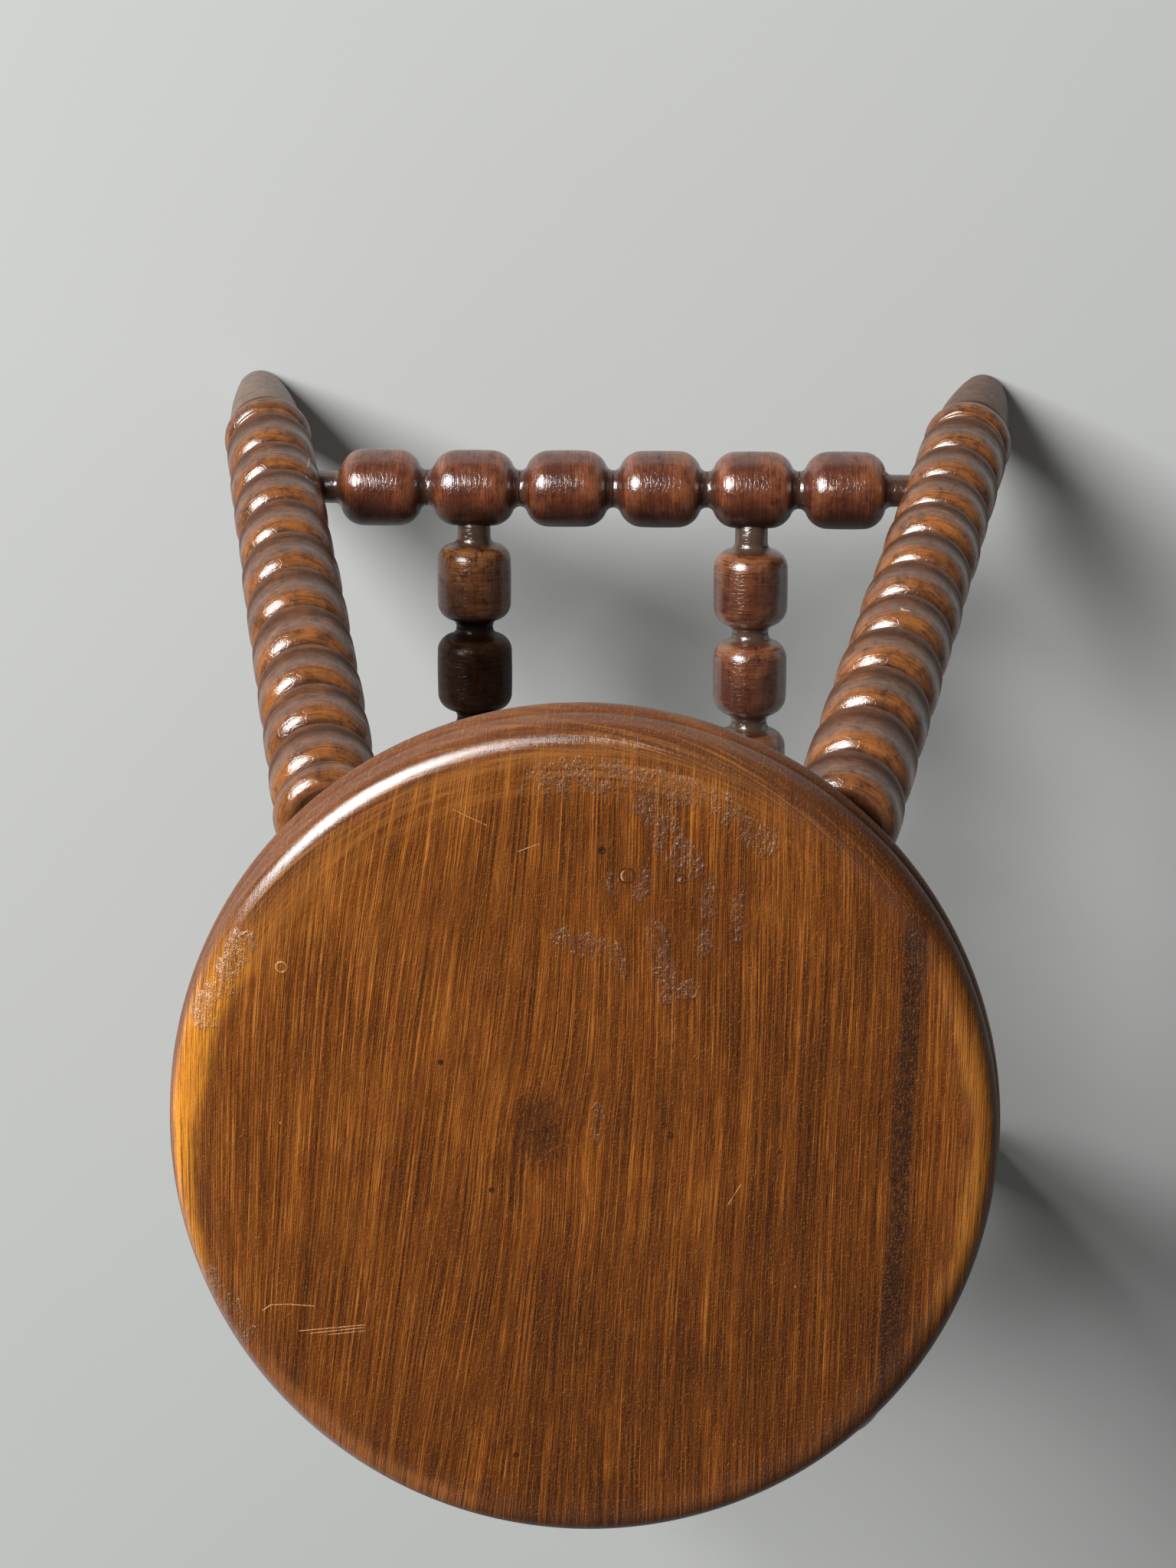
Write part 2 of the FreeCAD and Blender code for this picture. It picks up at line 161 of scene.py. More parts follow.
def half_neck(rim, waist, half, shoulder_share):
    """Points from a bobbin's rim, at 0, to the waist, at half: (radius, place)."""
    turn = 2 * math.atan((rim - waist) / half)
    both = half / math.sin(turn)
    shoulder = shoulder_share * both
    hollow = both - shoulder
    step = shoulder * math.sin(turn)
    bend = (rim - shoulder * (1 - math.cos(turn)), step)
    points = [(rim, 0.0)]
    points += arc((rim, 0.0), bend, shoulder, 1, SHOULDER_STEPS)
    points += arc(bend, (waist, half), hollow, -1, HOLLOW_STEPS)
    return points


# A bobbin's rim is slightly crowned, and half a neck takes at most this share of its length
RIM_CROWN = 0.12
HALF_NECK_LIMIT = 0.47
# The wear is strongest this far down a shoulder, as a share of the neck's depth, and weaker
# on the shoulder before the rim than on the one after it
WORN_DEPTH = 0.25
WORN_SPREAD = 0.27
LESS_WORN = 0.45


def bobbin(first, last, rim, waists, half, shoulder_share):
    """Outline points of one bobbin, from the waist before it to the waist after it."""
    half = min(half, (last - first) * HALF_NECK_LIMIT)
    flat = last - first - 2 * half
    deep = rim - min(waists)
    points = []

    def mark(radius, place, wear):
        low = min(1.0, max(0.0, (rim - radius) / deep))
        points.append((radius, place, low, wear * math.exp(-((low - WORN_DEPTH) / WORN_SPREAD) ** 2)))

    for radius, place in reversed(half_neck(rim, waists[0], half, shoulder_share)):
        mark(radius, first + half - place, LESS_WORN)
    for i in range(1, RIM_STEPS):
        share = i / RIM_STEPS
        # On the rim the wear fades over the first third, and grows again from the first quarter
        wear = max(LESS_WORN * (1 - share * 3), (share - 0.25) / 0.75, 0.0)
        mark(rim + RIM_CROWN * math.sin(math.pi * share), first + half + flat * share, wear)
    for radius, place in half_neck(rim, waists[1], half, shoulder_share):
        mark(radius, last - half + place, 1.0)
    return points


def plain(points, waist=0.0, worn=0.0):
    return [(radius, place, waist, worn) for radius, place in points]


# Two sides that meet within this angle of straight, in radians, make no sharp corner
NEARLY_STRAIGHT = 0.5
TINY = 1e-6


def softened(points, size):
    """The same outline with each sharp corner rounded off by about this size."""
    found = [points[0]]
    for before, here, after in zip(points, points[1:], points[2:]):
        corner = Vector(here[:2])
        a = Vector(before[:2]) - corner
        b = Vector(after[:2]) - corner
        if a.length < TINY or b.length < TINY or abs(a.angle(b) - math.pi) < NEARLY_STRAIGHT:
            found.append(here)
            continue
        start = corner + a.normalized() * min(size, a.length * 0.45)
        end = corner + b.normalized() * min(size, b.length * 0.45)
        middle = (start + end) / 2 * 0.55 + corner * 0.45
        for spot in (start, middle, end):
            found.append((spot.x, spot.y, *here[2:]))
    found.append(points[-1])
    return found


# A turning's hand-made unevenness: slow waves round and along it, and a slight oval
WAVES_ROUND = 2.2
WAVES_ALONG = 0.05
OVAL = 0.0025
# The vector attributes of a turning: its own coordinates and the stool's, both in millimetres
VECTOR_FIELDS = ("grain", "spot")


def lathe(name, points, matrix, seed, sides=TURNED_SIDES, wobble=0.12, stretch=1.0):
    """A turned piece: the outline about its own Z axis, placed by the matrix (millimetres).
    It keeps the fields that the materials read: grain, spot, waist and worn."""
    rng = random.Random(seed)
    shift = Vector((rng.uniform(-900, 900), rng.uniform(-900, 900), rng.uniform(-900, 900)))
    lean = rng.uniform(0, math.tau)
    rows = []
    vertices = []
    data = {"grain": [], "spot": [], "waist": [], "worn": []}

    def put(x, y, z, waist, worn):
        vertices.append(matrix @ (Vector((x, y, z)) * MM))
        data["grain"].append(Vector((x, y, z)) + shift)
        data["spot"].append(vertices[-1] / MM)
        data["waist"].append(waist)
        data["worn"].append(worn)

    for radius, place, waist, worn in points:
        if radius < TINY:
            rows.append([len(vertices)])
            put(0.0, 0.0, place, waist, worn)
            continue
        row = []
        for i in range(sides):
            angle = math.tau * i / sides
            wave = Vector((math.cos(angle) * WAVES_ROUND, math.sin(angle) * WAVES_ROUND,
                           place * WAVES_ALONG))
            grown = radius + wobble * noise.noise(wave + shift)
            grown *= 1 + OVAL * math.cos(2 * (angle - lean))
            row.append(len(vertices))
            put(grown * math.cos(angle), grown * math.sin(angle) * stretch, place, waist, worn)
        rows.append(row)
    faces = []
    for low, high in zip(rows, rows[1:]):
        count = max(len(low), len(high))
        for i in range(count):
            j = (i + 1) % count
            if len(low) == 1:
                faces.append((low[0], high[j], high[i]))
            elif len(high) == 1:
                faces.append((low[i], low[j], high[0]))
            else:
                faces.append((low[i], low[j], high[j], high[i]))
    mesh = bpy.data.meshes.new(name)
    mesh.from_pydata(vertices, [], faces)
    mesh.shade_smooth()
    for key, values in data.items():
        if key in VECTOR_FIELDS:
            layer = mesh.attributes.new(key, "FLOAT_VECTOR", "POINT")
            layer.data.foreach_set("vector", [c for v in values for c in v])
        else:
            layer = mesh.attributes.new(key, "FLOAT", "POINT")
            layer.data.foreach_set("value", values)
    mesh.update()
    piece = bpy.data.objects.new(name, mesh)
    bpy.context.scene.collection.objects.link(piece)
    return piece


def along(start, end):
    """A matrix that puts the Z axis on the line from start to end (millimetres)."""
    way = (Vector(end) - Vector(start)).normalized()
    turn = way.to_track_quat("Z", "Y").to_matrix().to_4x4()
    return Matrix.Translation(Vector(start) * MM) @ turn


def dress(piece, node, material):
    """The piece stands for a CAD node and material."""
    piece.data.materials.append(material)
    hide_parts(node)
    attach(piece, "root")


# Materials

def linear(red, green, blue):
    """A colour given in display values from 0 to 255, made linear."""
    found = []
    for value in (red, green, blue):
        share = value / 255
        found.append(share / 12.92 if share < 0.04045 else ((share + 0.055) / 1.055) ** 2.4)
    return tuple(found)


class Paint:
    """A procedural material, with short calls that add its nodes."""

    def __init__(self, name):
        self.material = bpy.data.materials.new(name)
        self.material.use_nodes = True
        self.tree = self.material.node_tree
        self.tree.nodes.clear()

    def feed(self, socket, value):
        if isinstance(value, bpy.types.NodeSocket):
            self.tree.links.new(value, socket)
        elif isinstance(value, tuple) and len(value) == 3 and socket.type == "RGBA":
            socket.default_value = (*value, 1.0)
        else:
            socket.default_value = value

    def node(self, kind, inputs, **settings):
        made = self.tree.nodes.new("ShaderNode" + kind)
        for key, value in settings.items():
            setattr(made, key, value)
        for key, value in inputs.items():
            self.feed(made.inputs[key], value)
        return made

    def field(self, name):
        made = self.node("Attribute", {}, attribute_name=name)
        return made.outputs["Vector" if name in VECTOR_FIELDS else "Fac"]

    def parts(self, vector):
        return self.node("SeparateXYZ", {0: vector}).outputs

    def joined(self, x, y, z):
        return self.node("CombineXYZ", {0: x, 1: y, 2: z}).outputs[0]

    def scaled(self, vector, by):
        return self.node("VectorMath", {0: vector, 1: by}, operation="MULTIPLY").outputs[0]

    def noise(self, vector, by, detail=4.0, rough=0.6, distort=0.0):
        """Noise of a vector whose three parts are first scaled by these."""
        made = self.node("TexNoise", {
            "Vector": self.scaled(vector, by), "Scale": 1.0, "Detail": detail,
            "Roughness": rough, "Distortion": distort})
        return made.outputs[0]

    def cells(self, vector, scale, feature):
        """A distance in a pattern of irregular cells."""
        made = self.node("TexVoronoi", {"Vector": vector, "Scale": scale}, feature=feature)
        return made.outputs["Distance"]

    def sums(self, operation, a, b=0.0, c=0.0, clamp=False):
        made = self.node("Math", {0: a, 1: b, 2: c}, operation=operation, use_clamp=clamp)
        return made.outputs[0]

    def weighted(self, *terms):
        """The sum of (value, weight) pairs, each value times its weight."""
        total = 0.0
        for value, weight in terms:
            total = self.sums("MULTIPLY_ADD", value, weight, total)
        return total

    def both(self, *masks):
        """The product of the masks."""
        found = masks[0]
        for mask in masks[1:]:
            found = self.sums("MULTIPLY", found, mask)
        return found

    def most(self, *masks):
        """The largest of the masks."""
        found = masks[0]
        for mask in masks[1:]:
            found = self.sums("MAXIMUM", found, mask)
        return found

    def gap(self, value, middle):
        """How far a value is from a middle one."""
        return self.sums("ABSOLUTE", self.sums("SUBTRACT", value, middle))

    def ramp(self, value, low, high, start=0.0, end=1.0):
        """Smoothly from start, where the value is low, to end, where it is high."""
        made = self.node("MapRange", {
            "Value": value, "From Min": low, "From Max": high, "To Min": start, "To Max": end},
            interpolation_type="SMOOTHSTEP")
        return made.outputs[0]

    def stops(self, value, stops):
        """A colour ramp through stops of (place, linear colour)."""
        made = self.node("ValToRGB", {"Fac": value})
        elements = made.color_ramp.elements
        while len(elements) < len(stops):
            elements.new(0.5)
        for element, (place, color) in zip(elements, stops):
            element.position = place
            element.color = (*color, 1.0)
        return made.outputs[0]

    def mix(self, share, a, b):
        made = self.node("Mix", {}, data_type="RGBA", clamp_factor=True)
        self.feed(made.inputs[0], share)
        self.feed(made.inputs[6], a)
        self.feed(made.inputs[7], b)
        return made.outputs[2]

    def over(self, color, tone, *masks):
        """A display tone laid over a colour, as strongly as the product of the masks."""
        return self.mix(self.both(*masks), color, linear(*tone))

    def away(self, flat, point):
        """The distance from a point of the seat's top, in millimetres."""
        made = self.node("VectorMath", {0: flat, 1: (*point, 0.0)}, operation="DISTANCE")
        return made.outputs["Value"]

    def spot(self, flat, point, size, soft):
        """1 inside a round spot of this radius, fading to 0 over the soft distance."""
        return self.ramp(self.away(flat, point), size + soft, size)

    def stroke(self, field, start, end, half):
        """1 on a scratch from one point to another, with its half width."""
        way = Vector(end) - Vector(start)
        offset = self.node("VectorMath", {0: field, 1: start}, operation="SUBTRACT").outputs[0]
        share = self.node("VectorMath", {0: offset, 1: tuple(way / way.length_squared)},
                          operation="DOT_PRODUCT").outputs["Value"]
        share = self.sums("ADD", share, 0.0, clamp=True)
        near = self.node("VectorMath", {0: tuple(way)}, operation="SCALE")
        self.feed(near.inputs["Scale"], share)
        gap = self.node("VectorMath", {0: offset, 1: near.outputs[0]}, operation="DISTANCE")
        return self.ramp(gap.outputs["Value"], half * 2.0, half * 0.7)

    def finish(self, color, rough, height, depth, coat=0.0, **constants):
        """The shader, with a bump whose height is in millimetres."""
        bump = self.node("Bump", {"Strength": 1.0, "Distance": depth * MM, "Height": height})
        shader = self.node("BsdfPrincipled", {
            "Base Color": color, "Roughness": rough, "Normal": bump.outputs[0],
            "Coat Weight": coat, "Coat Normal": bump.outputs[0]})
        for key, value in constants.items():
            shader.inputs[key].default_value = value
        output = self.node("OutputMaterial", {0: shader.outputs[0]})
        self.tree.nodes.active = output
        return self.material


PALE = linear(210, 178, 142)
DUST_AND_LIT_GREY = linear(146, 128, 112)
TURNED_RELIEF = 0.16


def turned_wood(name, tones, gloss, shine, bias=0.0, fibrous=0.0, marks=(), shaded=None, dusty=None):
    """Stained and lacquered turnings: dark rims, shoulders worn golden, grey dust in the
    stretchers' necks, and painted shade with dark wax in the legs' necks.

    tones: display colours of the dark stain, the rims, the wood, the worn wood and the necks
    gloss: the lacquer's weight on the rims and on the worn shoulders
    shine: the wood's own specular level
    bias: above 0 for more worn wood, and below 0 for less
    fibrous: 0 where the stain is even, and 1 where it follows the fibres
    marks: pale scratches, each between two points of the stool, with its half width
    shaded: two distances from the stool's middle, for painted shade: near black and dull up to the
        first and as told from the second on
    dusty: two heights, clean above the first and grey with dust below the second, with
        more of the grey on the left as painted light
    """
    dark, rim_tone, middle, gold, neck_tone = (linear(*tone) for tone in tones)
    paint = Paint(name)
    grain = paint.field("grain")
    waist = paint.field("waist")
    worn = paint.field("worn")
    fibre = paint.noise(grain, (0.8, 0.8, 0.08), 5.0, 0.65)
    blotch = paint.noise(grain, (0.07, 0.07, 0.06))
    patch = paint.noise(grain, (0.2, 0.2, 0.24), 4.0, 0.65)
    fleck = paint.noise(grain, (0.6, 0.6, 0.9), 6.0, 0.75, 0.4)
    rings = paint.noise(grain, (0.08, 0.08, 1.5), 5.0, 0.75)
    color = paint.mix(paint.ramp(fibre, 0.36, 0.62, 0.75 - 0.75 * fibrous, 1.0), dark, middle)
    color = paint.mix(paint.ramp(worn, 0.7, 0.0, 0.0, 0.75), color, rim_tone)
    tint = paint.weighted((rings, 1.1), (blotch, 1.1), (patch, 0.9), (worn, 0.5))
    color = paint.mix(paint.ramp(tint, 1.50 - bias, 2.50 - bias), color, gold)
    # Darker streaks of old stain round the turning, dark flecks, and the necks' own tone: grey dust
    # on the stretchers, and near black on the legs, painted shade in the crevices with dark wax
    color = paint.mix(paint.ramp(rings, 0.52, 0.32, 0.0, 0.5), color, dark)
    color = paint.mix(paint.ramp(fleck, 0.54, 0.72, 0.0, 0.4), color, dark)
    color = paint.mix(paint.ramp(patch, 0.48, 0.30, 0.0, 0.3 + 0.35 * fibrous), color, dark)
    color = paint.mix(paint.ramp(waist, 0.45, 1.0, 0.0, 0.8), color, neck_tone)
    # Tool marks round the turning, and fine cracks in the lacquer
    cuts = paint.noise(grain, (0.02, 0.02, 1.4), 2.0, 0.5)
    cracks = paint.cells(paint.scaled(grain, (0.3, 0.3, 0.6)), 1.0, "DISTANCE_TO_EDGE")
    height = paint.weighted((cuts, 0.7), (fleck, 0.45), (paint.ramp(cracks, 0.0, 0.07), 0.16))
    spot = paint.field("spot")
    x, y, z = paint.parts(spot)
    coat = paint.both(paint.ramp(worn, 0.0, 0.5, *gloss), paint.ramp(patch, 0.3, 0.5, 0.75, 1.0))
    if shaded:
        # Painted shade: near black towards the stool's middle, with the lacquer dull there
        painted_inner_shade = paint.ramp(paint.sums("ABSOLUTE", y), *shaded, 1.0, 0.0)
        color = paint.mix(paint.both(painted_inner_shade, 0.8), color, dark)
        coat = paint.both(coat, paint.sums("MULTIPLY_ADD", painted_inner_shade, -0.75, 1.0))
    if dusty:
        # Dust on the toes, and painted light: more of the pale grey on the left of the stool,
        # towards the light, than on its right
        dust = paint.both(paint.ramp(z, *dusty), paint.ramp(x, 150.0, -150.0, 0.5, 1.0))
        color = paint.mix(paint.both(dust, paint.ramp(patch, 0.3, 0.6, 0.3, 0.6)), color, DUST_AND_LIT_GREY)
        coat = paint.most(coat, paint.both(dust, 0.3))
    for start, end, half in marks:
        color = paint.mix(paint.both(paint.stroke(spot, start, end, half), 0.85), color, PALE)
    rough = paint.ramp(fleck, 0.3, 0.75, 0.34, 0.5)
    return paint.finish(color, rough, height, TURNED_RELIEF, coat, **{
        "Coat Roughness": 0.12, "Coat IOR": 2.1, "Specular IOR Level": shine})


# The legs' near-black neck tone is painted shade in the crevices, with dark wax
LEG_WOOD = turned_wood(
    "leg_wood", ((50, 25, 13), (82, 47, 27), (108, 63, 34), (170, 104, 49), (32, 17, 10)),
    gloss=(0.0, 0.7), shine=0.03, fibrous=0.3, dusty=(63.0, 58.0), marks=(
        ((-128.7, 170.8, 130.7), (-126.2, 168.0, 163.5), 0.4),
        ((112.5, 145.8, 313.4), (115.0, 145.6, 313.6), 0.5),
        ((112.0, 145.2, 311.4), (112.8, 145.6, 313.0), 0.4)))
# The side stretchers' inner sides get painted shade
SIDE_WOOD = turned_wood(
    "side_stretcher_wood", ((26, 11, 7), (86, 42, 27), (114, 58, 36), (166, 96, 56), (72, 50, 38)),
    gloss=(0.8, 0.8), shine=0.1, bias=0.04, fibrous=0.15, shaded=(145.0, 161.0), marks=(
        ((91.6, 162.0, 144.9), (91.9, 162.0, 144.9), 0.7),))
CROSS_RIGHT_WOOD = turned_wood(
    "cross_stretcher_right_wood",
    ((32, 15, 10), (90, 47, 30), (114, 61, 38), (162, 100, 60), (80, 65, 52)),
    gloss=(0.8, 0.8), shine=0.1, bias=-0.02, fibrous=0.7)
# This stretcher's middle gets painted shade, near black
CROSS_LEFT_WOOD = turned_wood(
    "cross_stretcher_left_wood",
    ((14, 6, 4), (92, 55, 33), (114, 68, 40), (160, 104, 58), (62, 50, 40)),
    gloss=(0.5, 0.5), shine=0.05, fibrous=0.8, shaded=(101.0, 109.0))


# The seat's material. Its places are in millimetres from the middle of the seat, with Y along
# the grain and towards the front legs.

# How much the grain leans, from the left edge (0) to the right one (1)
GRAIN_LEAN = ((0.0, 0.02), (0.18, 0.12), (0.31, 0.155), (0.43, 0.10), (0.57, 0.03), (1.0, 0.0))
GRAIN_TONES = ((0.37, (52, 23, 6)), (0.44, (82, 40, 9)), (0.50, (106, 54, 13)),
               (0.56, (136, 74, 20)), (0.62, (174, 104, 38)), (0.69, (204, 134, 58)))
# About half the seat's width, which makes millimetres of the share of the way to its edge
RIM_MM = 150.0
# Old nail holes: x, y, radius and strength
NAIL_HOLES = ((-15.5, 3.0, 1.0, 0.6), (-12.0, 4.4, 0.8, 0.7), (6.6, 101.2, 1.0, 0.9),
              (-46.7, 27.8, 0.7, 0.9), (-30.1, -17.1, 0.7, 0.9), (29.5, 3.2, 0.9, 0.8),
              (27.5, 6.8, 0.7, 0.7), (-22.3, -113.6, 0.7, 0.9), (66.0, -2.0, 0.6, 0.7))
# Round wood plugs: x, y and radius
PLUGS = ((14.8, 92.8, 2.5), (32.7, 91.7, 1.4))
# Places of crackled lacquer, from one point to another, with the half width
CRACKLED = (
    ((-6.0, 71.0), (10.0, 66.0), 3.5), ((10.0, 68.0), (13.0, 60.0), 2.5),
    ((24.0, 73.0), (29.0, 56.0), 4.0), ((28.0, 52.0), (36.0, 54.0), 3.0),
    ((42.0, 92.0), (40.0, 68.0), 2.2), ((51.5, 90.0), (51.0, 72.0), 1.6),
    ((10.0, 92.0), (11.0, 87.0), 2.0), ((21.0, 92.0), (19.0, 87.0), 2.5),
    ((22.0, 117.0), (34.0, 96.0), 5.0), ((46.0, 116.0), (60.0, 104.0), 4.0),
    ((5.3, 12.0), (5.0, 3.0), 2.0), ((30.0, 44.0), (29.0, 36.0), 1.6),
    ((-111.0, 68.0), (-126.0, 42.0), 4.0), ((-125.0, -50.0), (-114.0, -70.0), 3.5))
# Scratches, in the same way
SCRATCHES = (
    ((-105.3, -59.6), (-98.0, -59.2), 0.13), ((-98.0, -59.4), (-90.6, -59.8), 0.13),
    ((-105.3, -59.6), (-108.0, -61.8), 0.12), ((-96.0, -69.0), (-73.4, -66.4), 0.12),
    ((-92.0, -69.8), (-74.0, -67.4), 0.12), ((-86.0, -70.2), (-73.6, -68.6), 0.10),
    ((49.0, -21.0), (53.0, -14.0), 0.13), ((-42.0, 114.6), (-31.0, 109.4), 0.10),
    ((-21.0, 100.6), (-14.0, 103.4), 0.10))
# The small ring-shaped dent: its middle and radius
DENT = (-99.2, 60.4)
DENT_R = 1.75
SEAT_RELIEF = 0.14


class SeatPaint(Paint):
    """The seat board: brown-orange streaks, golden wear at the rim, dents and rough lacquer.
    Its steps take the colour so far and give it back with more on it. They run in the order in
    which they stand, because some keep a mask for a later one."""

    def __init__(self, name):
        super().__init__(name)
        grain = self.field("grain")
        self.x, self.y = self.parts(grain)[:2]
        self.flat = self.scaled(grain, (1.0, 1.0, 0.0))
        # The share of the way from the middle to the edge, and the same a little unevenly
        self.rim = self.sums("SQRT", self.sums("ADD",
            self.sums("POWER", self.sums("DIVIDE", self.x, SEAT_X), 2.0),
            self.sums("POWER", self.sums("DIVIDE", self.y, SEAT_Y), 2.0)))
        uneven = self.noise(self.flat, (0.05, 0.03, 0.0), 3.0)
        self.place = self.sums("ADD", self.rim, self.sums("MULTIPLY_ADD", uneven, 0.06, -0.03))
        self.patchy = self.noise(self.flat, (0.6, 0.3, 0.0), 4.0, 0.7)
        self.scaly = self.noise(self.flat, (1.2, 1.0, 0.0), 4.0, 0.75)

    def strokes(self, places):
        return [self.stroke(self.flat, (*start, 0.0), (*end, 0.0), half) for start, end, half in places]

    def grain_streaks(self):
        """The wood's own colour. Its grain leans on the left side and is straight on the right."""
        share = self.sums("MULTIPLY_ADD", self.x, 1 / (2 * SEAT_X), 0.5)
        lean = self.stops(share, [(place, (slope, slope, slope)) for place, slope in GRAIN_LEAN])
        wave = self.noise(self.flat, (0.010, 0.005, 0.0), 1.0, 0.5)
        across = self.sums("SUBTRACT", self.x, self.both(self.y, lean))
        across = self.sums("MULTIPLY_ADD", wave, 10.0, across)
        # Near the knot the grain bends a little
        across = self.sums("MULTIPLY_ADD", self.spot(self.flat, (-12.0, 1.0), 2.0, 34.0), 2.0, across)
        # The shift keeps the steps of the noises below from meeting on one line across the seat
        self.flow = self.joined(across, self.sums("ADD", self.y, 213.7), 0.0)
        self.line = self.noise(self.flow, (3.0, 0.017, 0.0), 4.0, 0.68)
        self.dash = self.noise(self.flow, (2.8, 0.1, 0.0), 5.0, 0.72)
        self.band = self.noise(self.flow, (0.14, 0.004, 0.0), 2.0, 0.5)
        streak = self.noise(self.flow, (1.1, 0.007, 0.0))
        broad = self.noise(self.flat, (0.03, 0.02, 0.0))
        # Painted light: a little lighter at the left and at the top, towards the light; and a little
        # lighter along the right edge
        right_edge = self.ramp(self.x, 108.0, 122.0, -0.378, -0.344)
        tone = self.weighted(
            (self.line, 0.72), (self.dash, 0.4), (streak, 0.32), (self.band, 0.14), (broad, 0.16),
            (self.x, -0.0002), (self.y, 0.0002), (right_edge, 1.0))
        return self.stops(tone, [(place, linear(*shade)) for place, shade in GRAIN_TONES])

    def upper_edge(self, color):
        """The worn belt along the upper edge, with faint rings of the lathe, and the dark end
        grain in drawn-out lines on the round-over."""
        x, y, rim, place = self.x, self.y, self.rim, self.place
        far = self.both(rim, RIM_MM)
        around = self.joined(far, self.both(x, 0.03), self.both(y, 0.03))
        rings = self.noise(around, (0.55, 0.55, 0.55), 4.0, 0.65)
        belt = self.both(self.ramp(place, 0.78, 0.92), self.ramp(place, 0.99, 0.95),
                         self.ramp(y, 30.0, 90.0), self.ramp(x, 100.0, 20.0))
        color = self.over(color, (176, 110, 48), belt, self.ramp(rings, 0.38, 0.64, 0.1, 0.75))
        around = self.joined(self.sums("MULTIPLY_ADD", x, 0.10, far), self.both(x, 0.02), 0.0)
        drawn = self.noise(around, (0.9, 0.9, 0.9))
        ends = self.both(self.ramp(rim, 0.90, 0.94), self.ramp(y, 50.0, 90.0))
        color = self.over(color, (84, 44, 22), ends, self.ramp(drawn, 0.42, 0.58, 0.3, 0.85))
        return self.over(color, (176, 116, 62), ends, self.ramp(drawn, 0.47, 0.36, 0.0, 0.6))

    def worn_edge(self, color):
        """Golden where hands have rubbed the left edge and, less, the right and the lower one.
        The rest of the rounded edge keeps its dark stain, with painted light and shade: lighter and
            redder at the left and the top, towards the light, and darker at the lower right."""
        x, y, rim, place = self.x, self.y, self.rim, self.place
        rubbed = self.ramp(self.sums("MULTIPLY_ADD", self.dash, 0.5, self.line), 0.64, 0.86, 0.2, 1.0)
        inner = self.sums("MULTIPLY_ADD", y, 0.00065, place)
        left = self.both(self.ramp(inner, 0.905, 0.95), self.ramp(rim, 0.992, 0.975),
                         self.ramp(x, -92.0, -118.0), self.ramp(y, -78.0, -36.0),
                         self.ramp(y, 84.0, 44.0), rubbed)
        color = self.over(color, (246, 158, 46), left)
        right = self.both(self.ramp(place, 0.90, 0.945), self.ramp(rim, 0.985, 0.965),
                          self.ramp(x, 106.0, 126.0), self.ramp(y, -74.0, -30.0),
                          self.ramp(y, 74.0, 24.0), rubbed)
        color = self.over(color, (214, 134, 46), right, 0.85)
        lower = self.both(self.ramp(place, 0.90, 0.94), self.ramp(rim, 0.985, 0.96),
                          self.ramp(x, -24.0, -56.0), self.ramp(y, -66.0, -90.0), rubbed)
        color = self.over(color, (184, 112, 58), lower, 0.7)
        # From the upper left, towards the light, to the lower right: painted light and shade on the
        # edge's stain, and less lacquer on the right
        self.side = self.ramp(self.sums("SUBTRACT", self.both(x, 1.6), y), -60.0, 60.0)
        stain = self.mix(self.side, linear(116, 66, 36), linear(80, 40, 16))
        kept = self.both(self.ramp(place, 0.945, 0.985),
                         self.sums("SUBTRACT", 1.0, self.most(left, right, lower)), 0.7)
        return self.mix(kept, color, stain)

    def resin_streak(self, color):
        """A dark resinous streak near the right edge, with painted glints on it."""
        run = self.gap(self.sums("MULTIPLY_ADD", self.y, -0.035, self.x), 106.6)
        run = self.sums("MULTIPLY_ADD", self.band, 6.0, run)
        self.resin = self.both(self.ramp(run, 8.4, 5.2), self.ramp(self.y, -98.0, -60.0),
                               self.ramp(self.y, 88.0, 70.0))
        color = self.over(color, (40, 21, 13), self.resin, self.ramp(self.patchy, 0.34, 0.58, 0.4, 0.92))
        # Painted glints on the streak
        return self.over(color, (120, 88, 70), self.resin, self.ramp(self.scaly, 0.56, 0.68, 0.0, 0.6))

    def knot_and_holes(self, color):
        """The knot, the nail holes, and the plugs, with a dark joint and a painted highlight on the left
        edge.
        """
        oval = self.joined(self.x, self.both(self.y, 0.6), 0.0)
        blot = self.sums("MULTIPLY_ADD", self.patchy, 1.6, self.spot(oval, (-14.0, 3.0), 1.0, 16.0))
        color = self.over(color, (56, 26, 12), self.ramp(blot, 1.1, 1.8, 0.0, 0.75))
        for x, y, size, strength in NAIL_HOLES:
            color = self.over(color, (44, 20, 9), self.spot(self.flat, (x, y), size, 0.6), strength)
        for x, y, size in PLUGS:
            away = self.away(self.flat, (x, y))
            color = self.over(color, (84, 40, 18), self.ramp(away, size, size - 0.3), 0.3)
            color = self.over(color, (50, 24, 12), self.ramp(self.gap(away, size), 0.5, 0.15), 0.75)
            # Painted highlight: a pale crescent inside the plug's left edge, towards the light
            color = self.over(color, (226, 182, 140), self.ramp(self.gap(away, size - 0.55), 0.35, 0.1),
                              self.ramp(self.x, x - size * 0.3, x - size * 0.7), 0.8)
        return color

